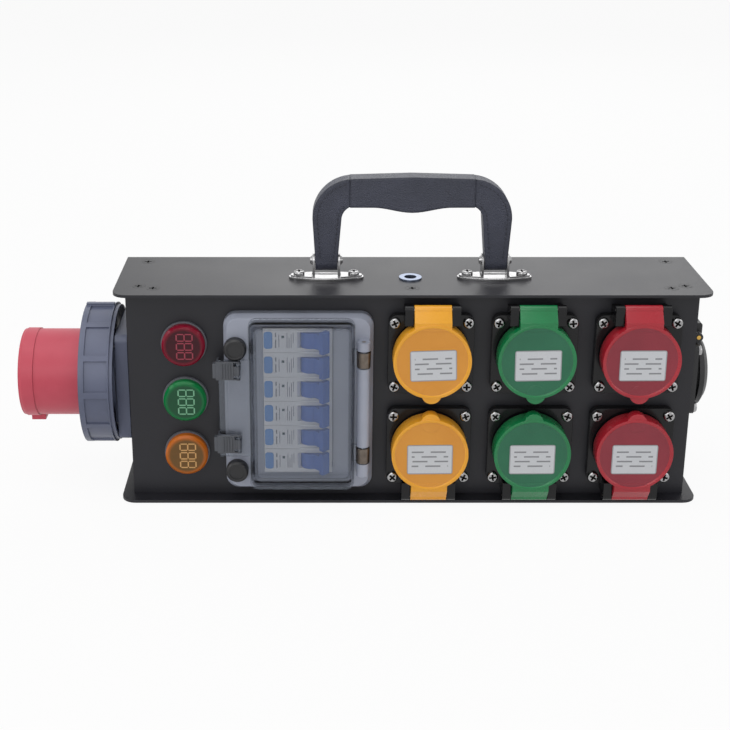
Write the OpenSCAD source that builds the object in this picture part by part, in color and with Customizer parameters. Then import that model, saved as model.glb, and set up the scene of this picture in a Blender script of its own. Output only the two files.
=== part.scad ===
// Portable power distribution box: a folded steel case with a carrying handle, a five-pole
// supply inlet on the left end, a row of breakers behind a hinged window, six lidded outlets
// on the front and one on the right end, and three round voltmeters.
// X runs to the right, Y to the back, Z up. The origin is the centre of the underside.

/* [Case] */
// Length of the top and bottom plates
case_l = 407; // [400:1:420]
// Depth of the top and bottom plates
case_d = 90; // [88:1:100]
// Height of the case
case_h = 155; // [155:1:160]
// Thickness of the sheet steel
sheet = 2; // [1.5:0.5:2]
// How far the plates stand out past the body at the front
front_overhang = 11; // [8:1:11]
// How far the plates stand out past the body at the ends
end_overhang = 8; // [6:1:8]
// Radius of the front corners of the plates
plate_corner_r = 10; // [4:1:14]

/* [Handle] */
// Distance between the centres of the two legs
handle_span = 117; // [110:1:120]
// Distance of the handle in front of the middle of the case, over its centre of mass
handle_front = 8; // [0:1:10]
// Height of the hinge pins above the top plate
handle_pin_rise = 13.3; // [10:0.1:14]
// Height of the top of the handle above the top plate
handle_rise = 73.5; // [72:0.5:80]
// Thickness of the handle from front to back
handle_t = 14; // [12:1:14]

/* [Supply inlet] */
// Height of the inlet's axis
inlet_z = 80.2; // [75:0.2:82]
// Distance of the inlet's axis behind the middle of the case
inlet_y = 5; // [0:1:6]
// Outer radius of the inlet's shroud
shroud_r = 31; // [30:0.5:31]
// Outer radius of the locking ring
ring_r = 50.3; // [50:0.1:52]

/* [Outlets] */
// Distance between outlet columns
outlet_pitch_x = 70.7; // [68:0.1:72]
// Distance between outlet rows
outlet_pitch_z = 68.7; // [68:0.1:70]
// Distance of the first outlet column from the middle of the case
outlet_x0 = 13; // [12:0.5:16]
// Height of the middle between the outlet rows
outlet_mid_z = 76.4; // [75:0.2:77]
// Radius of an outlet's lid
lid_r = 26.5; // [26:0.5:27]

/* [Breakers and window] */
// Number of breakers
breaker_count = 6; // [4:1:6]
// Width of one breaker
breaker_pitch = 18; // [17.5:0.5:18]
// Distance of the breakers' centre line from the middle of the case
breaker_x = -78.2; // [-79:0.2:-77]
// Height of the middle of the window
window_z = 75.3; // [75:0.1:76]
// Width of the window's frame
window_w = 102.4; // [100:0.2:104]
// Height of the window's frame
window_h = 130.3; // [130:0.1:134]

/* [Voltmeters] */
// Distance of the voltmeters from the middle of the case
meter_x = -156.4; // [-160:0.2:-154]
// Distance between voltmeters
meter_pitch = 40.8; // [36:0.2:42]
// Height of the middle voltmeter
meter_z = 76.2; // [74:0.2:78]

/* [Hidden] */
$fn = 64;
eps = 0.01;

// Finishes
powder_black = [0.13, 0.14, 0.16];
moulded_black = [0.09, 0.09, 0.10];
zinc = [0.72, 0.76, 0.82];
bright_chrome = [0.85, 0.85, 0.86];
blue_grey = [0.40, 0.43, 0.52];
salmon_red = [0.78, 0.32, 0.38];
pale_grey = [0.66, 0.67, 0.71];
brass_yellow = [0.80, 0.62, 0.30];
lid_yellow = [0.92, 0.65, 0.20];
lid_green = [0.10, 0.50, 0.28];
lid_red = [0.72, 0.15, 0.20];

// Case
body_l = case_l - 2 * end_overhang;
panel_y = -case_d / 2 + front_overhang;
rear_y = case_d / 2 - sheet;
wall_x = body_l / 2;
top_z = case_h - sheet;
flange_w = 14;
bend_r = 3;
m4_r = 2;
m4_hole_r = 2.2;
panel_head_r = 3.9;
panel_head_h = 2.6;
// Case screws: three along the front flange and two on each end flange
case_screws = [[-177, -29.6], [0, -29.6], [177, -29.6],
    [-187.3, -25], [187.3, -25], [-187.3, 31], [187.3, 31]];
case_screw_head_r = 4.7;
case_screw_r = 2;
case_screw_sink = 1.9;

// Rigging insert, for an M10 thread
insert_hole_r = 4.25;
insert_r = 6.4;
insert_flange_r = 7.9;
insert_flange_t = 1.2;
insert_l = 18;

// Handle
leg_x = handle_span / 2;
pin_z = case_h + handle_pin_rise;
handle_top = case_h + handle_rise;
handle_foot_r = handle_t / 2;
handle_half = leg_x + 9.6;
handle_corner_r = 28;
sleeve_half = 42.5;
sleeve_wall = 1.4;
leg_half = 7.6;
clevis_ear_t = 1.5;
clevis_gap = 8;
handle_pin_r = 2;
handle_base_h = 3;
handle_base_screw_x = 19;

// Supply inlet, measured outwards from the end wall
inlet_gasket_t = 1.5;
inlet_flange_end = 12.4;
inlet_flange_drop = 1.2;
inlet_neck_r = 30.5;
inlet_bore_r = 26;
inlet_hole_r = 28;
inlet_seat = 10.2;
ring_back = 10.6;
ring_first_panel = 4.3;
ring_front = 34;
ring_web = [15, 18.3];
ring_wall_r = 46.8;
shroud_base = 18.6;
shroud_end = 79.4;
shroud_bore_r = 27.5;
inlet_screw_y = 24.5;
inlet_screw_z = 31;
pin_circle_r = 17.5;

// Side outlet, measured outwards from the end wall
side_z = 83;
side_hinge_rise = 29.8;
side_hinge_out = 8;
side_mouth_r = 19.75;
side_half = 26;
side_face = 7;
side_depth = 17;
side_screw = 21.5;
side_lid_r = 26;
side_lid_out = 17.2;
side_barrel_r = 3.2;
side_pin_r = 1.5;
side_tail = 7.8;

// Outlets, measured outwards from the front panel
outlet_w = 58.6;
outlet_h = 57;
outlet_gasket_t = 1.2;
outlet_face = 7;
outlet_rim = 15;
outlet_rim_r = 23;
outlet_mouth_r = 21;
outlet_insert_r = 17.2;
outlet_screw_x = 25;
outlet_screw_z = 23.2;
outlet_hinge_rise = 34.8;
outlet_hinge_out = 13.5;
hinge_r = 3.2;
hinge_pin_r = 1.25;
strap_w = 25;
hinge_w = 37.5;
lid_back = 9;
lid_face = 22;
running = 0.05;

// Window, measured outwards from the front panel
frame_t = 10;
frame_r = 9;
window_x = -77.6;
breaker_dx = breaker_x - window_x;
breaker_rise = 1.3;
breaker_low = window_z + breaker_rise - breaker_count * breaker_pitch / 2;
breaker_high = breaker_low + breaker_count * breaker_pitch;
lid_hinge_x = 44.4;
lid_hinge_out = 15.2;
lid_knuckle_r = 4.4;
lid_pin_r = 1.5;
lid_out = 10.8;
lid_t = 2.2;
dome_out = 25.5;
dome_base = [72.8, 127.4];
dome_base_at = [2.2, -0.1, 0];
dome_face = [66, 112];
dome_face_at = [3, 4.5, 0];
knuckles = [[33.8, 46], [104.8, 116.8]];
frame_knuckles = [[24, 33.5], [46.3, 104.5], [117.1, 123.2]];
latch_z = [48, 102.5];
latch_h = 13.2;
latch_ear = 4.6;
latch_left = -56.2;
latch_pivot_x = -41.2;
latch_pivot_out = 16;
latch_pin_r = 0.8;
cap_x = -43.1;
cap_z = [26, 117];
cap_r = 7.8;
cap_out = 16.2;
nose_half = 23.6;
nose_out = 8;
breaker_half = 40;
breaker_back = -48;
rail_front = -46.8;
cheek_y = 58.4;
rail_z = [window_z - cheek_y - 2, window_z + cheek_y + 2];

// Heights of the terminal bars
terminal_z = [60, 90];

// Breaker toggle
toggle_x = 8.9;
toggle_out = 3.5;
toggle_r = 7;
toggle_tip = 15;
toggle_tilt = 45;
trunnion_r = 1.5;

// Voltmeter
meter_bezel_r = 15.8;
meter_lens_r = 14.9;
meter_lens_out = 8.5;
meter_thread_r = 11;

// ---------- shared shapes ----------
function arc(cx, cy, r, a0, a1, n = 6) =
    [for (i = [0:n]) let(a = a0 + (a1 - a0) * i / n) [cx + r * cos(a), cy + r * sin(a)]];
function round_rect(w, h, r) = concat(
    arc(w / 2 - r, h / 2 - r, r, 0, 90), arc(-w / 2 + r, h / 2 - r, r, 90, 180),
    arc(-w / 2 + r, -h / 2 + r, r, 180, 270), arc(w / 2 - r, -h / 2 + r, r, 270, 360));
module slab(w, h, r, z0, z1) translate([0, 0, z0]) linear_extrude(z1 - z0)
    polygon(round_rect(w, h, r));
module disc(r, z0, z1) translate([0, 0, z0]) cylinder(r = r, h = z1 - z0);
module block(x, y, z) translate([x[0], y[0], z[0]]) cube([x[1] - x[0], y[1] - y[0], z[1] - z[0]]);
module corners(x, y) for (sx = [-1, 1], sy = [-1, 1]) translate([sx * x, sy * y, 0]) children();

// Local frames: z points out of the wall and, on the front, x runs right and y up;
// on the two ends x runs up.
module on_front(x, z) translate([x, panel_y, z]) rotate([90, 0, 0]) children();
module on_left(z) translate([-wall_x, inlet_y, z]) rotate([0, -90, 0]) children();
module on_right(z) translate([wall_x, inlet_y, z]) rotate([0, 90, 0]) rotate([0, 0, 180]) children();

module cross_recess(w, depth) for (a = [0, 90]) rotate([0, 0, a])
    block([-w / 2, w / 2], [-w / 8, w / 8], [-depth, 1]);
// Pan-head screw: its head sits on z = 0 and its shank goes down
module pan_screw(head_r, head_h, shank_r, shank_l) difference() {
    union() {
        disc(head_r, 0, head_h * 0.5);
        translate([0, 0, head_h * 0.5]) cylinder(r1 = head_r, r2 = head_r * 0.6, h = head_h * 0.5);
        disc(shank_r, -shank_l, eps);
    }
    translate([0, 0, head_h]) cross_recess(head_r * 1.2, head_h * 0.7);
}

// The one M4 screw used all over the panels, its head on z = 0
module panel_screw() pan_screw(panel_head_r, panel_head_h, m4_r, 12);

// ---------- case ----------
module plan_outline() polygon(concat(
    arc(case_l / 2 - plate_corner_r, -case_d / 2 + plate_corner_r, plate_corner_r, 0, -90),
    arc(-case_l / 2 + plate_corner_r, -case_d / 2 + plate_corner_r, plate_corner_r, -90, -180),
    [[-case_l / 2, case_d / 2], [case_l / 2, case_d / 2]]));
// The bent sheet, seen from the end
module shell_section() polygon(concat([[-case_d / 2, 0]],
    arc(case_d / 2 - bend_r, bend_r, bend_r, -90, 0),
    arc(case_d / 2 - bend_r, case_h - bend_r, bend_r, 0, 90),
    [[-case_d / 2, case_h], [-case_d / 2, top_z], [rear_y, top_z], [rear_y, sheet],
    [-case_d / 2, sheet]]));
module at_case_screws() {
    for (p = case_screws) translate([p[0], p[1], case_h]) children();
    for (p = case_screws) translate([p[0], p[1], 0]) rotate([180, 0, 0]) children();
}
module outer_shell() color(powder_black) difference() {
    intersection() {
        linear_extrude(case_h) plan_outline();
        translate([-case_l / 2, 0, 0]) rotate([90, 0, 90]) linear_extrude(case_l) shell_section();
    }
    at_case_screws() {
        translate([0, 0, -case_screw_sink]) cylinder(r1 = case_screw_r + 0.35,
            r2 = case_screw_head_r + 0.1, h = case_screw_sink + eps);
        disc(case_screw_r + 0.2, -sheet - 1, 0);
    }
    translate([0, -handle_front, 0]) disc(insert_r + 0.05, top_z - 1, case_h + 1);
    at_handle_screws() disc(m4_hole_r, -sheet - 1, 1);
}
module chassis() color(powder_black) difference() {
    union() {
        block([-wall_x, wall_x], [panel_y, panel_y + sheet], [sheet, top_z]);
        for (s = [-1, 1]) block(s < 0 ? [-wall_x, -wall_x + sheet] : [wall_x - sheet, wall_x],
            [panel_y, rear_y], [sheet, top_z]);
        for (z = [sheet, top_z - sheet]) difference() {
            block([-wall_x, wall_x], [panel_y, rear_y], [z, z + sheet]);
            block([-wall_x + flange_w, wall_x - flange_w], [panel_y + flange_w, rear_y + 1],
                [z - 1, z + sheet + 1]);
        }
    }
    at_case_screws() disc(case_screw_r + 0.1, -2 * sheet - 1, -sheet + eps);
    for_outlets() {
        disc(outlet_mouth_r + 2.3, -sheet - 1, 1);
        corners(outlet_screw_x, outlet_screw_z) disc(m4_hole_r, -sheet - 1, 1);
    }
    at_window() slab(70, 123, 4, -sheet - 1, 1);
    at_caps() disc(m4_hole_r, -sheet - 1, 1);
    for_meters() disc(meter_thread_r + 0.2, -sheet - 1, 1);
    on_left(inlet_z) {
        disc(inlet_hole_r, -sheet - 1, 1);
        corners(inlet_screw_z, inlet_screw_y) disc(m4_hole_r, -sheet - 1, 1);
    }
    on_right(side_z) {
        disc(side_mouth_r + 2.4, -sheet - 1, 1);
        corners(side_screw, side_screw) disc(m4_hole_r, -sheet - 1, 1);
    }
}
module shell_screws() color(moulded_black) at_case_screws() difference() {
    union() {
        translate([0, 0, -case_screw_sink]) cylinder(r1 = case_screw_r + 0.3,
            r2 = case_screw_head_r, h = case_screw_sink);
        disc(case_screw_r, -9, -case_screw_sink + eps);
    }
    cross_recess(5, 1.3);
}
module rigging_insert() color(zinc) translate([0, -handle_front, 0]) difference() {
    union() {
        disc(insert_r, case_h - insert_l, case_h + eps);
        disc(insert_flange_r, case_h, case_h + insert_flange_t);
    }
    disc(insert_hole_r, case_h - insert_l - 1, case_h + insert_flange_t + 1);
}

// ---------- handle ----------
module at_legs() for (s = [-1, 1]) translate([s * leg_x, -handle_front, 0]) children();
module at_handle_screws() at_legs() for (s = [-1, 1])
    translate([s * handle_base_screw_x, 0, case_h]) children();
// Long oval plate, widest in the middle
function base_half(inset) = [for (x = [-21:3:21]) [x, 4.4 - inset + 3.6 * (1 - pow(x / 21, 2))]];
module base_outline(inset) polygon(concat(
    [for (p = base_half(inset)) [-p[0], p[1]]],
    arc(-21.6, 0, 4.4 - inset, 100, 260), [for (p = base_half(inset)) [p[0], -p[1]]],
    arc(21.6, 0, 4.4 - inset, -80, 80)));
module handle_bases() color(bright_chrome) at_legs() translate([0, 0, case_h]) difference() {
    union() {
        linear_extrude(handle_base_h * 0.6) base_outline(0);
        linear_extrude(handle_base_h) base_outline(1.2);
    }
    block([-13.2, 13.2], [-5.2, 5.2], [-1, 1.6]);
    block([-9.9, 9.9], [-5.2, 5.2], [-1, handle_base_h + 1]);
    // Lowered beside the leg, which lies over it when the handle is down
    block([-9.9, 9.9], [-10, 10], [handle_base_h - 1, handle_base_h + 1]);
    for (s = [-1, 1]) translate([s * handle_base_screw_x, 0, 0]) disc(m4_hole_r, -1, 10);
}
module clevis_ear() rotate([90, 0, 90]) linear_extrude(clevis_ear_t)
    polygon(concat([[-4.8, 0.4]], arc(0, handle_pin_rise, 4.8, 180, 0, 12), [[4.8, 0.4]]));
module handle_clevises() color(bright_chrome) at_legs() translate([0, 0, case_h]) difference() {
    union() {
        block([-12.9, 12.9], [-4.9, 4.9], [0, 1.5]);
        translate([clevis_gap, 0, 0]) clevis_ear();
        translate([-clevis_gap - clevis_ear_t, 0, 0]) clevis_ear();
    }
    translate([-15, 0, handle_pin_rise]) rotate([0, 90, 0]) disc(handle_pin_r + 0.02, 0, 30);
}
module handle_pins() color(bright_chrome) at_legs() translate([0, 0, pin_z]) rotate([0, 90, 0]) {
    reach = clevis_gap + clevis_ear_t;
    disc(handle_pin_r, -reach, reach);
    for (s = [0, 180]) rotate([s, 0, 0]) translate([0, 0, reach])
        cylinder(r1 = 3.6, r2 = 2.2, h = 1.8);
}
// Right half of the handle's outer edge, from the foot to the middle of the top
function handle_outer() = concat([[leg_x + leg_half, pin_z]],
    arc(handle_half - handle_corner_r, handle_top - 1 - handle_corner_r, handle_corner_r, 0, 84, 14));
// Right half of the inner edge, from the foot to the underside of the grip
function handle_inner() = concat([[leg_x - leg_half, pin_z]],
    arc(leg_x - 20.2, handle_top - 29.4, 10, 0, 90, 8));
function flip(points) = [for (i = [len(points) - 1:-1:0]) [-points[i][0], points[i][1]]];
function reversed(points) = [for (i = [len(points) - 1:-1:0]) points[i]];
module handle_outline() polygon(concat(handle_outer(), [[0, handle_top]], flip(handle_outer()),
    [for (p = handle_inner()) [-p[0], p[1]]], reversed(handle_inner())));
// Steel strap inside the leather: down both legs and along the top
module core_band(gap) polygon(concat(
    [[leg_x + 1.5 + gap, pin_z - 4 - gap]], arc(leg_x - 18.4, handle_top - 29, 19.9 + gap, 0, 90, 10),
    flip(arc(leg_x - 18.4, handle_top - 29, 19.9 + gap, 0, 90, 10)),
    [[-leg_x - 1.5 - gap, pin_z - 4 - gap], [-leg_x + 1.5 + gap, pin_z - 4 - gap]],
    reversed(flip(arc(leg_x - 18.4, handle_top - 29, 16.9 - gap, 0, 90, 10))),
    reversed(arc(leg_x - 18.4, handle_top - 29, 16.9 - gap, 0, 90, 10)),
    [[leg_x - 1.5 - gap, pin_z - 4 - gap]]));
module upright(t) translate([0, t / 2 - handle_front, 0]) rotate([90, 0, 0]) linear_extrude(t) children();
module leg_bores() at_legs() translate([-15, 0, pin_z]) rotate([0, 90, 0])
    disc(handle_pin_r + running, 0, 30);
// Rounded end of each leg, so that the handle can lie down either way
module leg_feet() at_legs() translate([-leg_half, 0, pin_z]) rotate([0, 90, 0])
    disc(handle_foot_r, 0, 2 * leg_half);
module handle_core() color("dimgray") difference() {
    upright(8) core_band(0);
    leg_bores();
}
module grip_slot(gap) upright(handle_t - 2 * sleeve_wall + 2 * gap) polygon([
    [-sleeve_half - gap, handle_top - 18.4 - gap], [sleeve_half + gap, handle_top - 18.4 - gap],
    [sleeve_half + gap, handle_top - 3 + gap], [-sleeve_half - gap, handle_top - 3 + gap]]);
module handle_cover() color([0.10, 0.10, 0.12]) difference() {
    union() {
        difference() {
            upright(handle_t) handle_outline();
            block([-sleeve_half, sleeve_half], [-30, 20], [handle_top - 40, handle_top + 5]);
        }
        leg_feet();
        grip_slot(eps);
    }
    upright(8.1) core_band(0.05);
    leg_bores();
}
// Wrapped grip, its underside swelling in the middle
function grip_underside() = [for (x = [-sleeve_half:sleeve_half / 12:sleeve_half])
    [x, handle_top - 20.8 - 3.6 * (abs(x) < 27 ? 0.5 + 0.5 * cos(180 * x / 27) : 0)]];
module handle_grip_sleeve() color([0.11, 0.11, 0.13]) difference() {
    upright(handle_t + 0.6) polygon(concat(grip_underside(),
        [[sleeve_half, handle_top - 0.9], [0, handle_top + 0.3], [-sleeve_half, handle_top - 0.9]]));
    grip_slot(0.05 + eps);
    block([-sleeve_half - 1, -sleeve_half + 0.05], [-30, 20], [0, 300]);
    block([sleeve_half - 0.05, sleeve_half + 1], [-30, 20], [0, 300]);
}

// ---------- supply inlet ----------
module inlet_flange() color(blue_grey) on_left(inlet_z) difference() {
    union() {
        translate([-inlet_flange_drop, 0, 0]) slab(78.6, 61.6, 5, inlet_gasket_t, inlet_seat);
        slab(67, 54.6, 4, inlet_seat - eps, inlet_flange_end);
        disc(inlet_neck_r, inlet_flange_end - 1, shroud_base);
    }
    disc(inlet_bore_r, -1, 30);
    corners(inlet_screw_z, inlet_screw_y) disc(m4_hole_r, -1, 30);
    corners(inlet_screw_z, inlet_screw_y) disc(panel_head_r + 0.3, inlet_seat, 30);
}
module inlet_shroud() color(salmon_red) on_left(inlet_z) difference() {
    union() {
        disc(34, shroud_base, shroud_base + 2.7);
        disc(shroud_r, shroud_base, shroud_end);
        translate([0, 0, shroud_end - 10.5]) cylinder(r = shroud_r + 0.7, h = 8.5);
        translate([0, 0, shroud_end - 2]) cylinder(r1 = shroud_r + 0.7, r2 = shroud_r - 0.6, h = 2);
        block([-shroud_r - 4.8, -shroud_r + 2], [-5, 5], [shroud_end - 12.5, shroud_end - 2.4]);
    }
    disc(shroud_bore_r, shroud_base + 2.7, shroud_end + 1);
    disc(inlet_bore_r, shroud_base - 1, shroud_end);
}
module inlet_lock_ring() color(blue_grey) on_left(inlet_z) difference() {
    union() {
        disc(ring_r - 1.7, ring_back, ring_back + 3);
        disc(ring_r, ring_back + 2.5, ring_front);
        // Lug at the top that shows how far the ring is turned
        rotate([0, 0, 1.8]) block([ring_r - 1, ring_r + 1.6], [-1.9, 1.9],
            [ring_back + 3, ring_front - 0.5]);
    }
    disc(ring_wall_r, ring_back - 1, ring_web[0]);
    disc(ring_wall_r - 1.8, ring_web[1], ring_front + 1);
    disc(inlet_neck_r + 0.08, ring_back, ring_front);
    // Twelve sunk grip panels
    for (a = [0:30:330]) rotate([0, 0, a + ring_first_panel]) rotate_extrude(angle = 25, $fn = 96)
        polygon([[ring_r - 1.2, ring_back + 3.4], [ring_r + 1, ring_back + 3.4],
            [ring_r + 1, ring_front - 3.9], [ring_r - 1.2, ring_front - 3.9]]);
}
module pin_places() for (i = [0:4]) rotate([0, 0, 180 + 72 * i]) translate([pin_circle_r, 0, 0])
    children();
module inlet_pin_carrier() color(moulded_black) on_left(inlet_z) difference() {
    union() {
        disc(inlet_bore_r - 0.1, -26, shroud_base + 3);
        disc(shroud_bore_r - 0.1, shroud_base + 2.8, 42);
    }
    pin_places() disc(4.1, -27, 43);
}
module inlet_pins() color(brass_yellow) on_left(inlet_z) pin_places() {
    disc(4, -26.5, 42);
    disc(3, 42 - eps, 64);
    translate([0, 0, 64]) cylinder(r1 = 3, r2 = 1.8, h = 2);
}

// ---------- side outlet ----------
module side_hinge_rod(r, half) translate([side_hinge_rise, half, side_hinge_out])
    rotate([90, 0, 0]) disc(r, 0, 2 * half);
module side_outlet_body() color(moulded_black) on_right(side_z) difference() {
    union() {
        slab(2 * side_half, 2 * side_half, 4, 0, side_face);
        disc(side_mouth_r + 2.2, -side_depth, 11);
        // Hinge ears either side of the lid's barrel
        for (s = [-1, 1]) {
            block([side_hinge_rise - 5, side_hinge_rise], [s * 14 - 4, s * 14 + 4],
                [1, side_hinge_out]);
            translate([side_hinge_rise, s * 14 + 4, side_hinge_out]) rotate([90, 0, 0])
                disc(side_barrel_r, 0, 8);
        }
    }
    disc(side_mouth_r, -6.5, 20);
    disc(side_mouth_r - 1, -side_depth + 1, 0);
    side_hinge_rod(side_pin_r + 0.02, 20);
    corners(side_screw, side_screw) disc(m4_hole_r, -20, 20);
}
module side_outlet_insert() color([0.16, 0.16, 0.17]) on_right(side_z) difference() {
    disc(side_mouth_r - 1.1, -side_depth + 1, -6.6);
    for (s = [-1, 1]) {
        translate([0, s * 9.5, 0]) disc(2.5, -14, 0);
        block([s * 17 - 2, s * 17 + 2], [-2.5, 2.5], [-13, 0]);
    }
}
// Lid with a barrel between the ears and a short tail above it
module side_outlet_lid() color(moulded_black) on_right(side_z) difference() {
    union() {
        disc(side_lid_r, 9, side_lid_out - 4.8);
        translate([0, 0, side_lid_out - 4.8 - eps])
            cylinder(r1 = side_lid_r, r2 = side_lid_r - 5, h = 3.4);
        translate([0, 0, side_lid_out - 1.4 - 2 * eps])
            cylinder(r1 = side_lid_r - 5, r2 = side_lid_r - 12, h = 1.4);
        translate([side_hinge_rise, 9.6, side_hinge_out]) rotate([90, 0, 0]) linear_extrude(19.2) polygon([
            [-12, 4.6], [-7.3, 1.6], [-3, 0.6], [0, -1.2], [2, 0], [side_tail, 0], [side_tail, 3.2],
            [side_tail - 1.2, 4.4], [0, 4.4], [-5, 3.6], [-8, 6]]);
        side_hinge_rod(side_barrel_r, 9.6);
        block([-side_lid_r - 1.2, -20], [-6, 6], [9, 12.5]);
    }
    disc(side_lid_r - 1.8, 8, side_lid_out - 5);
    side_hinge_rod(side_pin_r + running, 20);
}
module side_outlet_hinge_pin() color(brass_yellow) on_right(side_z)
    side_hinge_rod(side_pin_r, 18.4);

// ---------- breaker window ----------
module at_window() on_front(window_x, window_z) children();
module at_caps() for (z = cap_z) on_front(window_x + cap_x, z) children();
module at_rail_screws() for (s = [-1, 1]) on_front(breaker_x, window_z + s * cheek_y) children();
module lid_rod(r, z0, z1) on_front(window_x + lid_hinge_x, 0) translate([0, z1, lid_hinge_out])
    rotate([90, 0, 0]) disc(r, 0, z1 - z0);
module window_frame() color(pale_grey) difference() {
    union() {
        at_window() {
            slab(window_w, window_h, frame_r, 0, 6);
            hull() {
                slab(window_w, window_h, frame_r, 5.9, 6);
                slab(window_w - 5, window_h - 5, frame_r - 1, frame_t - 0.1, frame_t);
            }
            // End cheeks that carry the rail
            for (s = [-1, 1]) translate([breaker_dx, s * cheek_y, 0])
                block([-21, 21], [-3, 3], [rail_front, 1]);
        }
        // Hinge posts and the long barrel between the lid's knuckles
        for (z = frame_knuckles) {
            on_front(window_x + lid_hinge_x, 0) block([-3, 3.8], z, [frame_t - 1, lid_hinge_out]);
            lid_rod(lid_knuckle_r, z[0], z[1]);
        }
    }
    at_window() {
        // Well round the breaker noses
        translate([dome_base_at[0], 0, 0]) slab(69, 114, 3, 2, frame_t + 1);
        translate([breaker_dx, 0, 0]) block([-nose_half - 0.4, nose_half + 0.4],
            [breaker_low - window_z - 0.3, breaker_high - window_z + 0.3], [-2, 3]);
    }
    at_caps() disc(m4_hole_r, -1, frame_t + 1);
    at_rail_screws() disc(m4_r + 0.02, rail_front - 1, rail_front + 8);
    lid_rod(lid_pin_r + 0.02, frame_knuckles[0][0] - 1, frame_knuckles[2][1] + 1);
}
module window_gasket() color(moulded_black) at_window() translate([dome_base_at[0], 0, 0]) difference() {
    slab(72, 120, 4, frame_t, frame_t + 0.4);
    slab(69.4, 117, 3, frame_t - 1, frame_t + 2);
}
// Lid: a deep dome leaning to its lower left, and a flange for the two latches
module window_lid() color([0.78, 0.82, 0.84, 0.4]) difference() {
    union() {
        at_window() {
            translate(dome_base_at) slab(dome_base[0], dome_base[1], 6, lid_out, lid_out + lid_t);
            block([-54.6, -33], [-38.3, 33.5], [lid_out, lid_out + lid_t]);
            hull() {
                translate(dome_base_at) slab(dome_base[0], dome_base[1], 6, lid_out, lid_out + 0.1);
                translate(dome_face_at) slab(dome_face[0], dome_face[1], 4, dome_out - 0.1, dome_out);
            }
        }
        // Two ears under each latch
        for (z = latch_z, s = [-1, 1]) on_front(window_x + latch_pivot_x, z + s * latch_ear) {
            translate([0, 1, latch_pivot_out]) rotate([90, 0, 0]) disc(1.9, 0, 2);
            block([-1.4, 1.4], [-1, 1], [lid_out + lid_t - 0.2, latch_pivot_out]);
        }
        for (z = knuckles) {
            on_front(window_x + lid_hinge_x, 0)
                block([-9, 0], z, [lid_hinge_out - 4.2, lid_hinge_out - 1.6]);
            lid_rod(lid_knuckle_r, z[0], z[1]);
        }
    }
    at_window() hull() {
        translate(dome_base_at)
            slab(dome_base[0] - 4, dome_base[1] - 4, 5, lid_out - 0.1, lid_out);
        translate(dome_face_at)
            slab(dome_face[0] - 4, dome_face[1] - 4, 3, dome_out - 2, dome_out - 1.9);
    }
    for (z = latch_z) on_front(window_x + latch_pivot_x, z) translate([0, 10, latch_pivot_out])
        rotate([90, 0, 0]) disc(latch_pin_r + running, 0, 20);
    lid_rod(lid_pin_r + running, knuckles[0][0] - 1, knuckles[1][1] + 1);
}
// Snap latch: pivots at its right end on its own pin, its claw comes down beside the frame
module latch(z) color([0.36, 0.37, 0.40]) on_front(window_x, z) {
    half = latch_h / 2;
    back = lid_out + lid_t + 1.2;
    difference() {
        union() {
            block([latch_left, latch_pivot_x], [-half, half], [back, back + 2.8]);
            for (x = [-52.6:1.9:-44]) block([x, x + 0.9], [1 - half, half - 1], [back + 2.7, back + 3.6]);
            block([latch_left, latch_left + 1.3], [1.4 - half, half - 1.4], [4, back + 0.1]);
            block([latch_left - 2.2, latch_left + 0.1], [1.4 - half, half - 1.4], [back - 2, back + 2.4]);
            translate([latch_pivot_x, half, latch_pivot_out]) rotate([90, 0, 0]) disc(1.6, 0, latch_h);
        }
        for (s = [-1, 1]) block([latch_pivot_x - 3, latch_pivot_x + 4],
            [s * latch_ear - 1.3, s * latch_ear + 1.3], [back - 2, back + 10]);
    }
    translate([latch_pivot_x, half, latch_pivot_out]) rotate([90, 0, 0]) disc(latch_pin_r, 0, latch_h);
}
module window_latch_upper() latch(latch_z[1]);
module window_latch_lower() latch(latch_z[0]);
module window_hinge_pins() color("dimgray") {
    lid_rod(lid_pin_r, frame_knuckles[0][0], knuckles[0][1] + 6);
    lid_rod(lid_pin_r, knuckles[1][0] - 6, frame_knuckles[2][1]);
}
// Dished caps over the frame's screws
module window_caps() color(moulded_black) at_caps() difference() {
    union() {
        disc(cap_r, frame_t, cap_out - 1.4);
        translate([0, 0, cap_out - 1.4 - eps]) cylinder(r1 = cap_r, r2 = cap_r - 1.2, h = 1.4);
    }
    disc(panel_head_r + 0.2, frame_t - 1, frame_t + panel_head_h + 0.4);
    disc(cap_r - 2.4, cap_out - 0.8, cap_out + 1);
}
module din_rail() color(zinc) difference() {
    on_front(breaker_x, 0) translate([0, rail_z[1], 0]) rotate([90, 0, 0])
        linear_extrude(rail_z[1] - rail_z[0]) polygon([[-17.5, -46.9], [-12.5, -46.9],
            [-12.5, -52.3], [12.5, -52.3], [12.5, -46.9], [17.5, -46.9], [17.5, -47.9],
            [13.5, -47.9], [13.5, -53.3], [-13.5, -53.3], [-13.5, -47.9], [-17.5, -47.9]]);
    at_rail_screws() disc(m4_hole_r, rail_front - 10, rail_front - 2);
}

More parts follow.
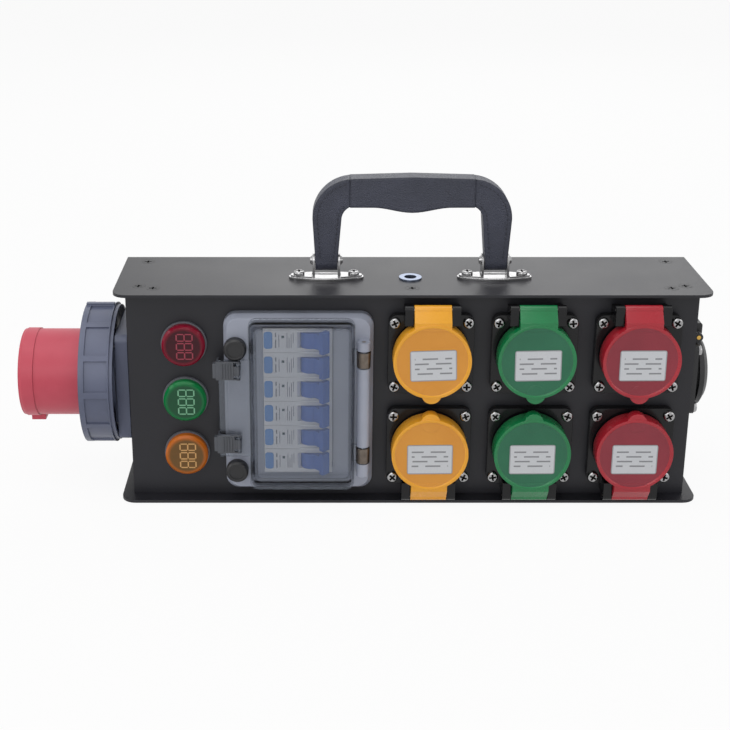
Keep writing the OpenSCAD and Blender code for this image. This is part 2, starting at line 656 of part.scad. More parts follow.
// ---------- breakers ----------
module at_breakers() for (i = [0:breaker_count - 1])
    on_front(breaker_x, breaker_low + (i + 0.5) * breaker_pitch) children();
module breaker_cases() color([0.86, 0.87, 0.88]) at_breakers() difference() {
    translate([0, breaker_pitch / 2 - 0.1, 0]) rotate([90, 0, 0])
        linear_extrude(breaker_pitch - 0.2) polygon([[-breaker_half, breaker_back],
            [-17.7, breaker_back], [-17.7, -46.8], [17.7, -46.8], [17.7, breaker_back],
            [breaker_half, breaker_back], [breaker_half, -9], [nose_half, -9],
            [nose_half, nose_out], [-nose_half, nose_out], [-nose_half, -9],
            [-breaker_half, -9]]);
    // Toggle slot and its trunnion bearings
    translate([toggle_x, 5.8, toggle_out]) rotate([90, 0, 0]) {
        disc(toggle_r + 0.3, 0, 11.6);
        linear_extrude(11.6) polygon([[-4.8, 0], [4.8, 0], [14.8, 10], [-14.8, 10]]);
    }
    translate([toggle_x, 7.6, toggle_out]) rotate([90, 0, 0]) disc(trunnion_r + running, 0, 15.2);
    // Cable entries at both ends
    for (s = [-1, 1]) block([s * 35 - 5.2, s * 35 + 5.2], [-3, 3], [-27, -20]);
}
module toggle(i) color([0.30, 0.40, 0.72])
    on_front(breaker_x + toggle_x, breaker_low + (i - 0.5) * breaker_pitch)
    translate([0, 0, toggle_out]) {
        rotate([0, toggle_tilt, 0]) {
            block([-3, 3], [-5.4, 5.4], [0, 12]);
            block([-3.2, 3.2], [-7.8, 7.8], [11.5, toggle_tip]);
        }
        rotate([90, 0, 0]) {
            disc(toggle_r, -5.5, 5.5);
            disc(trunnion_r, -7.3, 7.3);
        }
    }
module breaker_toggle_1() toggle(1);
module breaker_toggle_2() toggle(2);
module breaker_toggle_3() toggle(3);
module breaker_toggle_4() toggle(4);
module breaker_toggle_5() toggle(5);
module breaker_toggle_6() toggle(6);
module comb_busbar() color([0.75, 0.45, 0.25]) {
    on_front(breaker_x - breaker_half - 2.6, 0)
        block([0, 1.6], [breaker_low + 4, breaker_high - 4], [-29, -19]);
    at_breakers() block([-breaker_half - 1.1, -breaker_half + 8], [-2, 2], [-24.5, -22.5]);
}
// Neutral and earth bars behind the outlets, with a row of clamping holes each
module terminal_bars() color(brass_yellow) for (z = terminal_z) difference() {
    block([40, 130], [rear_y - 14, rear_y - 6], [z, z + 8]);
    for (x = [46:10:126]) translate([x, 0, z + 4]) rotate([-90, 0, 0]) disc(2.2, 20, 50);
}
// Insulating blocks that hold the ends of the bars off the rear wall
module terminal_supports() color(pale_grey) for (z = terminal_z, x = [[35, 43], [127, 135]])
    difference() {
        block(x, [rear_y - 15, rear_y], [z - 2, z + 10]);
        block([40, 130], [rear_y - 14, rear_y - 6], [z, z + 8]);
    }

// ---------- outlets ----------
// Columns run from left to right; the lower row is the same outlet turned upside down
module at_outlet(col, row) on_front(outlet_x0 + col * outlet_pitch_x,
    outlet_mid_z + (row == 0 ? 1 : -1) * outlet_pitch_z / 2)
    rotate([0, 0, row == 0 ? 0 : 180]) children();
module for_outlets() for (col = [0:2], row = [0:1]) at_outlet(col, row) children();
module outlet_rod(r, half) translate([-half, outlet_hinge_rise, outlet_hinge_out])
    rotate([0, 90, 0]) disc(r, 0, 2 * half);
module outlet_housing(col, row) color(moulded_black) at_outlet(col, row) difference() {
    ear_w = hinge_w / 2 - strap_w / 2 - 0.4;
    union() {
        slab(outlet_w, outlet_h, 6, outlet_gasket_t, outlet_face);
        disc(outlet_rim_r, -38, outlet_rim);
        // Hinge ears either side of the lid's strap
        for (s = [-1, 1]) translate([s * (hinge_w - ear_w) / 2 - ear_w / 2, 0, 0]) {
            block([0, ear_w], [24, outlet_hinge_rise], [outlet_gasket_t, outlet_hinge_out + hinge_r]);
            translate([0, outlet_hinge_rise, outlet_hinge_out]) rotate([0, 90, 0])
                disc(hinge_r, 0, ear_w);
        }
    }
    disc(outlet_mouth_r, -36, outlet_rim + 1);
    corners(outlet_screw_x, outlet_screw_z) disc(m4_hole_r, -20, 20);
    outlet_rod(hinge_pin_r + 0.02, 20);
}
module outlet_housing_1() outlet_housing(0, 0);
module outlet_housing_2() outlet_housing(1, 0);
module outlet_housing_3() outlet_housing(2, 0);
module outlet_housing_4() outlet_housing(0, 1);
module outlet_housing_5() outlet_housing(1, 1);
module outlet_housing_6() outlet_housing(2, 1);
contact_places = [[0, -11], [-9.5, 5.5], [9.5, 5.5]];
module outlet_inserts() color([0.15, 0.15, 0.16]) for_outlets() difference() {
    union() {
        disc(outlet_mouth_r - 0.1, -35.9, -26);
        disc(outlet_insert_r, -26 - eps, 6);
    }
    for (p = contact_places) translate([p[0], p[1], 0]) disc(2.9, -30, 7);
}
module outlet_contacts() color(brass_yellow) for_outlets() for (p = contact_places)
    translate([p[0], p[1], 0]) difference() {
        disc(2.8, -30, -2);
        disc(2.1, -20, -1);
    }
module outlet_hinge_pins() color("silver") for_outlets() outlet_rod(hinge_pin_r, hinge_w / 2 - 0.2);
// Lid: a round cap with a strap up to the hinge and a thumb nub opposite
module outlet_lid(col, row, colour) color(colour) at_outlet(col, row) difference() {
    union() {
        disc(lid_r, lid_back, lid_face - 1.8);
        translate([0, 0, lid_face - 1.8 - eps]) cylinder(r1 = lid_r, r2 = lid_r - 1.8, h = 1.8);
        translate([0, -lid_r + 2.75, 0]) disc(6.75, lid_face - 7, lid_face - 1.8);
        translate([-strap_w / 2, 0, 0]) rotate([90, 0, 90]) linear_extrude(strap_w) polygon([
            [18, lid_back + 6], [24, lid_back + 0.6], [outlet_hinge_rise, outlet_hinge_out - 1.4],
            [outlet_hinge_rise, outlet_hinge_out + hinge_r], [24, lid_face - 4.4],
            [18, lid_face - 4.4]]);
        outlet_rod(hinge_r, strap_w / 2);
    }
    disc(lid_r - 2.2, lid_back - 1, lid_face - 4);
    outlet_rod(hinge_pin_r + running, 20);
}
module outlet_lid_yellow_upper() outlet_lid(0, 0, lid_yellow);
module outlet_lid_green_upper() outlet_lid(1, 0, lid_green);
module outlet_lid_red_upper() outlet_lid(2, 0, lid_red);
module outlet_lid_yellow_lower() outlet_lid(0, 1, lid_yellow);
module outlet_lid_green_lower() outlet_lid(1, 1, lid_green);
module outlet_lid_red_lower() outlet_lid(2, 1, lid_red);

// ---------- screws and gaskets all round ----------
module panel_screws() color(bright_chrome) {
    at_handle_screws() translate([0, 0, handle_base_h]) panel_screw();
    for_outlets() corners(outlet_screw_x, outlet_screw_z) translate([0, 0, outlet_face])
        panel_screw();
    on_left(inlet_z) corners(inlet_screw_z, inlet_screw_y) translate([0, 0, inlet_seat])
        panel_screw();
    on_right(side_z) corners(side_screw, side_screw) translate([0, 0, side_face]) panel_screw();
    at_caps() translate([0, 0, frame_t]) panel_screw();
    // The two that hold the rail, their heads behind it
    at_rail_screws() translate([0, 0, rail_front - 6.5]) rotate([180, 0, 0]) panel_screw();
}
module panel_gaskets() color(moulded_black) {
    for_outlets() difference() {
        slab(outlet_w - 2, outlet_h - 2, 6, 0, outlet_gasket_t);
        disc(outlet_rim_r + 0.2, -1, 3);
        corners(outlet_screw_x, outlet_screw_z) disc(m4_hole_r, -1, 3);
    }
    on_left(inlet_z) difference() {
        translate([-inlet_flange_drop, 0, 0]) slab(77.6, 60.6, 5, 0, inlet_gasket_t);
        disc(inlet_hole_r, -1, 3);
        corners(inlet_screw_z, inlet_screw_y) disc(m4_hole_r, -1, 3);
    }
}

// ---------- voltmeters ----------
module at_meter(i) on_front(meter_x, meter_z + i * meter_pitch) children();
module for_meters() for (i = [-1:1]) at_meter(i) children();
module meter_bodies() color([0.45, 0.46, 0.50]) for_meters() difference() {
    union() {
        disc(meter_bezel_r, 0, 2.4);
        disc(meter_thread_r, -28, 1);
    }
    disc(meter_thread_r - 1.5, -26, 3);
}
module meter_displays() color([0.25, 0.27, 0.27]) for_meters() disc(meter_thread_r - 1.6, -4, 2);
module meter_lens() difference() {
    union() {
        disc(meter_lens_r, 2.4, meter_lens_out - 2);
        translate([0, 0, meter_lens_out - 2 - eps])
            cylinder(r1 = meter_lens_r, r2 = meter_lens_r - 1.6, h = 2);
    }
    disc(meter_lens_r - 1.8, 2, meter_lens_out - 2);
}
module meter_lens_red() color([0.7, 0.1, 0.2, 0.6]) at_meter(1) meter_lens();
module meter_lens_green() color([0.1, 0.6, 0.3, 0.6]) at_meter(0) meter_lens();
module meter_lens_amber() color([0.9, 0.5, 0.1, 0.6]) at_meter(-1) meter_lens();
module meter_nuts() color(moulded_black) for_meters() difference() {
    translate([0, 0, -sheet - 5]) cylinder(r = 16, h = 5, $fn = 6);
    disc(meter_thread_r + 0.1, -sheet - 6, 0);
}

outer_shell();
chassis();
shell_screws();
panel_screws();
panel_gaskets();
rigging_insert();
handle_bases();
handle_clevises();
handle_pins();
handle_core();
handle_cover();
handle_grip_sleeve();
inlet_flange();
inlet_shroud();
inlet_lock_ring();
inlet_pin_carrier();
inlet_pins();
side_outlet_body();
side_outlet_insert();
side_outlet_lid();
side_outlet_hinge_pin();
window_frame();
window_gasket();
window_lid();
window_latch_upper();
window_latch_lower();
window_hinge_pins();
window_caps();
din_rail();
breaker_cases();
comb_busbar();
terminal_bars();
terminal_supports();
breaker_toggle_1();
breaker_toggle_2();
breaker_toggle_3();
breaker_toggle_4();
breaker_toggle_5();
breaker_toggle_6();
outlet_housing_1();
outlet_housing_2();
outlet_housing_3();
outlet_housing_4();
outlet_housing_5();
outlet_housing_6();
outlet_inserts();
outlet_contacts();
outlet_hinge_pins();
outlet_lid_yellow_upper();
outlet_lid_green_upper();
outlet_lid_red_upper();
outlet_lid_yellow_lower();
outlet_lid_green_lower();
outlet_lid_red_lower();
meter_bodies();
meter_displays();
meter_lens_red();
meter_lens_green();
meter_lens_amber();
meter_nuts();
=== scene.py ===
import math
import bpy
from mathutils import Matrix, Vector


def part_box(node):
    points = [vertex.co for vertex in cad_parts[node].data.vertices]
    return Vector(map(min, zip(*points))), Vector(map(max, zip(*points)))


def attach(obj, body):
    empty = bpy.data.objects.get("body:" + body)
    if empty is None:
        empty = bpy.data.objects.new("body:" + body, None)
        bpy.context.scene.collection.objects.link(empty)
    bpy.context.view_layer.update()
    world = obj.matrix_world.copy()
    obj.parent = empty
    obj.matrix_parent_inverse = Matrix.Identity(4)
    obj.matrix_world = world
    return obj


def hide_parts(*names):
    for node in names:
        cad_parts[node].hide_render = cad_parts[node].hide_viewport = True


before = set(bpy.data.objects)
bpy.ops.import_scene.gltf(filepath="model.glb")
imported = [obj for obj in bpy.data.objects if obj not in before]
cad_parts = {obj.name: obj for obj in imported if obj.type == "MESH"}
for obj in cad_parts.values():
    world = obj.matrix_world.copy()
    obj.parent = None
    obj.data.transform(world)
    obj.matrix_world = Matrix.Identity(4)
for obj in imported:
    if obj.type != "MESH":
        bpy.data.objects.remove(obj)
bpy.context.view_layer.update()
MM = 0.001

# ---------- Camera, floor and light ----------
# The box stands on a plain white table top, seen from slightly above and a little to the left,
# under plain soft studio light: a wide softbox overhead, one in front and one at each side.
camera_place = Vector((-62.9, -909.5, 448.0)) * MM
camera_pitch = math.radians(18.5)
lens_mm = 67.07

camera = bpy.data.objects.new("camera", bpy.data.cameras.new("camera"))
bpy.context.scene.collection.objects.link(camera)
camera.location = camera_place
camera.rotation_euler = (math.pi / 2 - camera_pitch, 0, 0)
camera.data.lens = lens_mm
camera.data.sensor_width = 36
camera.data.shift_x = 0.0616
camera.data.shift_y = -0.1027
camera.data.clip_end = 50
bpy.context.scene.camera = camera
bpy.context.scene.view_settings.view_transform = "Standard"


class Wire:
    """A shader socket that takes part in sums. Each sum adds its Math node."""

    def __init__(self, tree, socket):
        self.tree, self.socket = tree, socket

    def node(self, kind, settings, inputs, out=0):
        """Adds a node: its settings first, then the values or wires of its inputs."""
        made = self.tree.nodes.new("ShaderNode" + kind)
        for key, value in settings.items():
            if key == "stops":
                ramp = made.color_ramp.elements
                while len(ramp) < len(value):
                    ramp.new(0.5)
                for stop, (position, colour) in zip(ramp, value):
                    stop.position, stop.color = position, colour
            else:
                setattr(made, key, value)
        for key, value in inputs.items():
            if isinstance(value, Wire):
                self.tree.links.new(value.socket, made.inputs[key])
            else:
                made.inputs[key].default_value = value
        return Wire(self.tree, made.outputs[out])

    def math(self, operation, *values):
        return self.node("Math", {"operation": operation}, dict(enumerate(values)))

    def __add__(self, other):
        return self.math("ADD", self, other)

    def __sub__(self, other):
        return self.math("SUBTRACT", self, other)

    def __rsub__(self, other):
        return self.math("SUBTRACT", other, self)

    def __mul__(self, other):
        return self.math("MULTIPLY", self, other)

    def __gt__(self, other):
        return self.math("GREATER_THAN", self, other)

    def __lt__(self, other):
        return self.math("LESS_THAN", self, other)

    __radd__, __rmul__ = __add__, __mul__

    def noise(self, scale, detail=3.0, roughness=0.5):
        return self.node("TexNoise", {}, {
            "Vector": self, "Scale": scale, "Detail": detail, "Roughness": roughness})

    def ramp(self, low, high):
        """0 below low, 1 above high, and a straight slope between."""
        return self.node("MapRange", {}, {
            "Value": self, "From Min": low, "From Max": high, "To Min": 0.0, "To Max": 1.0})

    def mix(self, a, b):
        """Colour a where this is 0, b where it is 1."""
        return self.node("Mix", {"data_type": "RGBA"}, {0: self, 6: a, 7: b}, out=2)


def tint(red, green, blue):
    """A colour given in the usual 0 to 255 steps, as light values."""
    return tuple(((c / 255 + 0.055) / 1.055) ** 2.4 if c > 10 else c / 3294.6
                 for c in (red, green, blue)) + (1.0,)


def finish(name, **constants):
    """A new material with its constant sockets set, and the wire of its object coordinates."""
    material = bpy.data.materials.new(name)
    material.use_nodes = True
    shader = material.node_tree.nodes["Principled BSDF"]
    for socket, value in constants.items():
        shader.inputs[socket.replace("_", " ")].default_value = value
    coordinates = material.node_tree.nodes.new("ShaderNodeTexCoord")
    return material, Wire(material.node_tree, coordinates.outputs["Object"])


def drive(material, **wires):
    """Plugs wires into the main shader's sockets."""
    shader = material.node_tree.nodes["Principled BSDF"]
    for socket, wire in wires.items():
        material.node_tree.links.new(wire.socket, shader.inputs[socket.replace("_", " ")])


def relief(place, height, depth, edge=0.0):
    """Normals of a surface that rises with height, its sharp edges softened by edge metres."""
    inputs = {"Height": height, "Distance": depth, "Strength": 1.0}
    if edge:
        inputs["Normal"] = place.node("Bevel", {"samples": 6}, {"Radius": edge})
    return place.node("Bump", {}, inputs)


def seen(wire_tree):
    """1 on rays that show the backdrop itself, directly or in metal and glass."""
    path = wire_tree.nodes.new("ShaderNodeLightPath")
    rays = [Wire(wire_tree, path.outputs[key])
            for key in ("Is Camera Ray", "Is Glossy Ray", "Is Transmission Ray")]
    return rays[0].math("MAXIMUM", rays[0].math("MAXIMUM", rays[0], rays[1]), rays[2])


floor_size = 14
bpy.ops.object.select_all(action="DESELECT")
bpy.ops.mesh.primitive_plane_add(size=floor_size, location=(0, 0, -0.0002))
floor = bpy.context.object
floor.name = "floor"
floor_finish, place = finish("white_table", Roughness=0.9, Specular_IOR_Level=0.1)
drive(floor_finish, Base_Color=place.noise(3).mix(tint(238, 238, 238), tint(242, 242, 242)))
tree = floor_finish.node_tree
glow = place.node("Emission", {}, {"Color": (1, 1, 1, 1), "Strength": 1.0})
blend = place.node("MixShader", {}, {
    0: seen(tree) * 0.93, 1: Wire(tree, tree.nodes["Principled BSDF"].outputs[0]), 2: glow})
tree.links.new(blend.socket, tree.nodes["Material Output"].inputs["Surface"])
floor.data.materials.append(floor_finish)

world = bpy.data.worlds.new("studio")
bpy.context.scene.world = world
world.use_nodes = True
tree = world.node_tree
strength = 0.30 + seen(tree) * 0.70
tree.links.new(strength.socket, tree.nodes["Background"].inputs["Strength"])
tree.nodes["Background"].inputs["Color"].default_value = (1, 1, 1, 1)

# Name, place, size and power of each softbox; all face the middle of the box
softboxes = [("overhead", (-0.3, -0.3, 1.7), 1.6, 11.5), ("front", (-0.5, -2.0, 1.0), 1.2, 9),
             ("left", (-1.8, -0.4, 0.9), 0.9, 5), ("right", (1.7, -0.6, 0.9), 0.9, 4),
             ("back", (0.2, 1.6, 1.2), 1.2, 8)]
for name, place, size, power in softboxes:
    lamp = bpy.data.objects.new(name, bpy.data.lights.new(name, "AREA"))
    bpy.context.scene.collection.objects.link(lamp)
    lamp.data.size = size
    lamp.data.energy = power
    lamp.location = place
    lamp.rotation_euler = (Vector((0, 0, 0.08)) - lamp.location).to_track_quat("-Z", "Y").to_euler()


def coat(material, *nodes):
    """Gives CAD nodes their finish."""
    for name in nodes:
        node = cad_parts[name]
        node.data.materials.clear()
        node.data.materials.append(material)


# ---------- Case ----------
# Two millimetre sheet steel: a chassis of front panel and end walls inside a shell of top
# plate, back and bottom plate. Both are bent, then powder coated satin black.
powder_coat, place = finish("powder_coat", Specular_IOR_Level=0.38)
dust = place.noise(14, 5).ramp(0.35, 0.75)
peel = place.noise(1500, 2)
drive(powder_coat,
      Base_Color=dust.mix(tint(29, 29, 34), tint(35, 35, 41)),
      Roughness=0.40 + dust * 0.06 + peel * 0.05,
      Normal=relief(place, peel, 0.00006, edge=0.0006))
coat(powder_coat, "outer_shell", "chassis")

black_oxide, place = finish("black_oxide", Metallic=0.6)
drive(black_oxide, Base_Color=place.noise(600).mix(tint(30, 30, 32), tint(52, 52, 55)),
      Roughness=0.35 + place.noise(900) * 0.2, Normal=relief(place, place.noise(900), 0.00003, 0.0003))
coat(black_oxide, "shell_screws")

# ---------- Bright fittings ----------
# Nickel-plated screws, pins and handle fittings, with fine marks from polishing and handling.
bright_plate, place = finish("bright_plate", Metallic=1.0)
marks = place.noise(900, 6, 0.7)
drive(bright_plate, Base_Color=place.noise(160).mix(tint(138, 137, 136), tint(176, 176, 178)),
      Roughness=0.12 + marks * 0.16, Normal=relief(place, marks, 0.00002, 0.0004))
coat(bright_plate, "panel_screws", "handle_bases", "handle_clevises", "handle_pins")

zinc, place = finish("zinc", Metallic=1.0)
spangle = place.noise(420, 4)
drive(zinc, Base_Color=spangle.mix(tint(104, 114, 134), tint(150, 160, 180)),
      Roughness=0.24 + spangle * 0.2, Normal=relief(place, spangle, 0.00003, 0.0003))
coat(zinc, "rigging_insert", "din_rail")

plain_steel, place = finish("plain_steel", Metallic=1.0)
drive(plain_steel, Base_Color=place.noise(300).mix(tint(120, 112, 104), tint(168, 160, 150)),
      Roughness=0.3 + place.noise(700) * 0.2, Normal=relief(place, place.noise(700), 0.00003, 0.0003))
coat(plain_steel, "handle_core", "window_hinge_pins", "outlet_hinge_pins")

brass, place = finish("brass", Metallic=1.0)
drive(brass, Base_Color=place.noise(300).mix(tint(176, 136, 62), tint(220, 184, 104)),
      Roughness=0.22 + place.noise(700) * 0.2, Normal=relief(place, place.noise(700), 0.00003, 0.0003))
coat(brass, "inlet_pins", "side_outlet_hinge_pin", "terminal_bars", "outlet_contacts")

copper, place = finish("copper", Metallic=1.0)
drive(copper, Base_Color=place.noise(300).mix(tint(176, 106, 72), tint(210, 140, 100)),
      Roughness=0.25 + place.noise(700) * 0.2, Normal=relief(place, place.noise(700), 0.00003, 0.0003))
coat(copper, "comb_busbar")


def moulding(name, dark, light, roughness, grain=1800, depth=0.00003, edge=0.0005, **constants):
    """Injection-moulded plastic: slight flow in its colour, a spark-eroded skin, soft edges."""
    material, place = finish(name, **constants)
    flow = place.noise(30, 4).ramp(0.3, 0.7)
    skin = place.noise(grain, 2)
    drive(material, Base_Color=flow.mix(tint(*dark), tint(*light)),
          Roughness=roughness - 0.04 + flow * 0.04 + skin * 0.08,
          Normal=relief(place, skin, depth, edge))
    return material


black_moulding = moulding("black_moulding", (24, 24, 26), (31, 31, 34), 0.42)
gloss_black = moulding("gloss_black", (13, 13, 15), (18, 18, 21), 0.14, depth=0.00001, Specular_IOR_Level=0.3)
rubber = moulding("rubber", (22, 22, 22), (30, 30, 30), 0.7)
ring_grey = moulding("ring_grey", (84, 90, 112), (98, 104, 127), 0.38)
shroud_red = moulding("shroud_red", (196, 68, 86), (208, 80, 98), 0.42)
frame_grey = moulding("frame_grey", (156, 161, 176), (170, 175, 190), 0.3)
breaker_white = moulding("breaker_white", (200, 203, 210), (214, 216, 222), 0.4)
toggle_blue = moulding("toggle_blue", (38, 84, 168), (50, 96, 182), 0.3)
lid_yellow = moulding("lid_yellow", (240, 166, 36), (246, 174, 46), 0.24)
lid_green = moulding("lid_green", (10, 116, 64), (18, 130, 74), 0.24)
lid_red = moulding("lid_red", (166, 26, 42), (180, 36, 50), 0.24)
meter_grey = moulding("meter_grey", (96, 98, 106), (112, 114, 122), 0.4)
meter_dark = moulding("meter_dark", (40, 42, 42), (52, 54, 54), 0.5)
leather = moulding("leather", (44, 47, 60), (62, 65, 80), 0.46, grain=1400, depth=0.0008, edge=0.0028)
coat(black_moulding, "inlet_pin_carrier", "side_outlet_body", "side_outlet_insert",
     "side_outlet_lid", "window_caps", "outlet_inserts", "meter_nuts")
coat(gloss_black, *["outlet_housing_%d" % i for i in range(1, 7)])
coat(rubber, "panel_gaskets", "window_gasket")
coat(ring_grey, "inlet_flange", "inlet_lock_ring")
coat(shroud_red, "inlet_shroud")
coat(frame_grey, "window_frame", "terminal_supports")
coat(breaker_white, "breaker_cases")
coat(toggle_blue, *["breaker_toggle_%d" % i for i in range(1, 7)])
coat(lid_yellow, "outlet_lid_yellow_upper", "outlet_lid_yellow_lower")
coat(lid_green, "outlet_lid_green_upper", "outlet_lid_green_lower")
coat(lid_red, "outlet_lid_red_upper", "outlet_lid_red_lower")
coat(meter_grey, "meter_bodies")
coat(meter_dark, "meter_displays")
coat(leather, "handle_cover", "handle_grip_sleeve")


def clear_moulding(name, colour, least, roughness=0.06):
    """Clear plastic: a mirror that shows more of itself the more it is seen edge on."""
    material, place = finish(name, Metallic=1.0, Base_Color=tint(*colour))
    facing = place.node("LayerWeight", {}, {"Blend": 0.5}, out=1)
    glance = facing.math("POWER", facing, 4.0)
    scuff = place.noise(260, 5, 0.6)
    drive(material, Alpha=least + glance * 0.8, Roughness=roughness + scuff * 0.08,
          Normal=relief(place, scuff, 0.00002, 0.0006))
    return material


clear_lid = clear_moulding("clear_lid", (136, 142, 152), 0.2)
coat(clear_lid, "window_lid")
coat(moulding("smoky_latch", (76, 79, 86), (90, 93, 100), 0.22), "window_latch_upper", "window_latch_lower")
# Each lens is painted darker in the middle, as painted shade for the dark display behind it, than at its rim.
for name, height, lens_shade, rim in (("red", 117.0, (58, 22, 30), (140, 16, 44)),
                                ("green", 76.2, (34, 78, 54), (14, 128, 66)),
                                ("amber", 35.4, (104, 80, 44), (206, 108, 26))):
    lens_finish, place = finish("lens_" + name, Alpha=0.97, Specular_IOR_Level=0.22)
    reach = place.node("VectorMath", {"operation": "DISTANCE"},
                       {0: place, 1: (-0.1564, -0.0425, height * MM)}, out=1)
    rings = place.noise(420, 2) * 0.12
    # Painted shade: the lens colour darkens towards the middle, where the display stands behind it.
    drive(lens_finish, Base_Color=(reach.ramp(0.0112, 0.0142) + rings).mix(tint(*lens_shade), tint(*rim)),
          Roughness=0.12 + place.noise(500) * 0.06, Normal=relief(place, place.noise(500), 0.00001, 0.0009))
    coat(lens_finish, "meter_lens_" + name)

# ---------- Outlet lids ----------
# Six spring lids, each moulded in one piece in coloured plastic: a hollow round cap with a thin
# raised rim, a strap up to the hinge barrel and a thumb nub opposite. The lower three hang
# upside down, hinged at the bottom.
panel_y = -34.0
outlet_x0, outlet_pitch_x, outlet_pitch_z, outlet_mid_z = 13.0, 70.7, 68.7, 76.4
lid_r, lid_back, lid_face = 26.5, 9.0, 22.0
lid_wall, lid_rim, rim_depth = 2.2, 1.6, 0.7
strap_half, hinge_rise, hinge_out, hinge_r, pin_hole_r = 12.5, 34.8, 13.5, 3.2, 1.7


def fresh(kind, name, **sizes):
    """A new primitive, the only thing selected, with its size in its mesh and its place on the object."""
    bpy.ops.object.select_all(action="DESELECT")
    getattr(bpy.ops.mesh, "primitive_%s_add" % kind)(**sizes)
    piece = bpy.context.object
    piece.name = name
    return piece


def apply_place():
    bpy.ops.object.transform_apply(location=True, rotation=True, scale=True)


def bar(name, radius, low, high, at=(0, 0), along="z", sides=96):
    """A round bar from low to high along z, or along x."""
    middle = (low + high) / 2
    place = (at[0], at[1], middle) if along == "z" else (middle, at[0], at[1])
    piece = fresh("cylinder", name, vertices=sides, radius=radius * MM,
                  depth=(high - low) * MM, location=[c * MM for c in place],
                  rotation=(0, 0, 0) if along == "z" else (0, math.pi / 2, 0))
    apply_place()
    return piece


def block(name, *spans):
    """A block between two limits along x, y and z."""
    piece = fresh("cube", name, size=MM, location=[(a + b) / 2 * MM for a, b in spans])
    piece.scale = [b - a for a, b in spans]
    apply_place()
    return piece


def pick(piece, test, kind="FACE"):
    """Enters edit mode with the faces whose middle and normal pass the test, or the edges
    whose middle and direction do."""
    bpy.ops.object.select_all(action="DESELECT")
    bpy.context.view_layer.objects.active = piece
    bpy.ops.object.mode_set(mode="EDIT")
    bpy.ops.mesh.select_mode(type=kind)
    bpy.ops.mesh.select_all(action="DESELECT")
    bpy.ops.object.mode_set(mode="OBJECT")
    mesh = piece.data
    for face in mesh.polygons if kind == "FACE" else ():
        face.select = bool(test(face.center / MM, face.normal))
    for edge in mesh.edges if kind == "EDGE" else ():
        a, b = (mesh.vertices[i].co for i in edge.vertices)
        edge.select = bool(test((a + b) / 2 / MM, (b - a).normalized()))
    bpy.ops.object.mode_set(mode="EDIT")


def done():
    bpy.ops.object.mode_set(mode="OBJECT")


def combine(piece, other, how="UNION"):
    """Joins another piece on, or cuts it out. The other piece is used up."""
    bpy.context.view_layer.objects.active = piece
    change = piece.modifiers.new("combine", "BOOLEAN")
    change.operation, change.object, change.solver = how, other, "EXACT"
    bpy.ops.object.modifier_apply(modifier="combine")
    bpy.data.objects.remove(other)


def soften(piece, width, segments=3):
    """Rounds the sharp edges and smooths the curved faces."""
    bpy.ops.object.select_all(action="DESELECT")
    piece.select_set(True)
    bpy.context.view_layer.objects.active = piece
    edge = piece.modifiers.new("edge", "BEVEL")
    edge.width, edge.segments, edge.angle_limit = width * MM, segments, math.radians(32)
    edge.limit_method = "ANGLE"
    bpy.ops.object.modifier_apply(modifier="edge")
    bpy.ops.object.shade_smooth_by_angle(angle=math.radians(38))


def twin(piece, name, place):
    """A copy with its own mesh, moved to its place."""
    copy = piece.copy()
    copy.data = piece.data.copy()
    copy.name = name
    bpy.context.scene.collection.objects.link(copy)
    copy.data.transform(place)
    return copy


def front(x, z, out=0.0, turn=0.0):
    """The place of a piece made face up: on the front panel, out millimetres off it."""
    return (Matrix.Translation(Vector((x, panel_y - out, z)) * MM)
            @ Matrix.Rotation(math.pi / 2, 4, "X") @ Matrix.Rotation(turn, 4, "Z"))


def fit(piece, body, slot, *materials, nodes=()):
    """Gives a finished piece its materials and body, and hides the CAD nodes it stands for. The slot is not
    used.
    """
    faces = [face.material_index for face in piece.data.polygons]
    piece.data.materials.clear()
    for material in materials:
        piece.data.materials.append(material)
    piece.data.polygons.foreach_set("material_index", faces)
    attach(piece, body)
    if nodes:
        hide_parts(*nodes)


def join(name, pieces):
    """Makes several objects one piece."""
    bpy.ops.object.select_all(action="DESELECT")
    for piece in pieces:
        piece.select_set(True)
    bpy.context.view_layer.objects.active = pieces[0]
    bpy.ops.object.join()
    pieces[0].name = name
    return pieces[0]


lid = bar("lid", lid_r, lid_back, lid_face, sides=128)
pick(lid, lambda middle, normal: normal.z > 0.9)
bpy.ops.mesh.inset(thickness=lid_rim * MM, depth=0)
bpy.ops.mesh.inset(thickness=0.8 * MM, depth=-rim_depth * MM)
done()
strap = block("strap", (-strap_half, strap_half), (22, 28), (14.5, 21.6))
pick(strap, lambda middle, normal: normal.y > 0.9)
bpy.ops.mesh.extrude_region_move(TRANSFORM_OT_translate={"value": (0, 6.8 * MM, -3.65 * MM)})
bpy.ops.transform.resize(value=(1, 1, 0.64))
done()
combine(lid, strap)
combine(lid, bar("nub", 6.75, 14.6, 21.5, at=(0, 2.75 - lid_r), sides=48))
combine(lid, bar("barrel", hinge_r, -strap_half, strap_half, at=(hinge_rise, hinge_out),
                 along="x", sides=48))
combine(lid, bar("hollow", lid_r - lid_wall, lid_back - 1, lid_face - 4, sides=128), "DIFFERENCE")
combine(lid, bar("pin_hole", pin_hole_r, -20, 20, at=(hinge_rise, hinge_out), along="x",
                 sides=32), "DIFFERENCE")
soften(lid, 0.6)

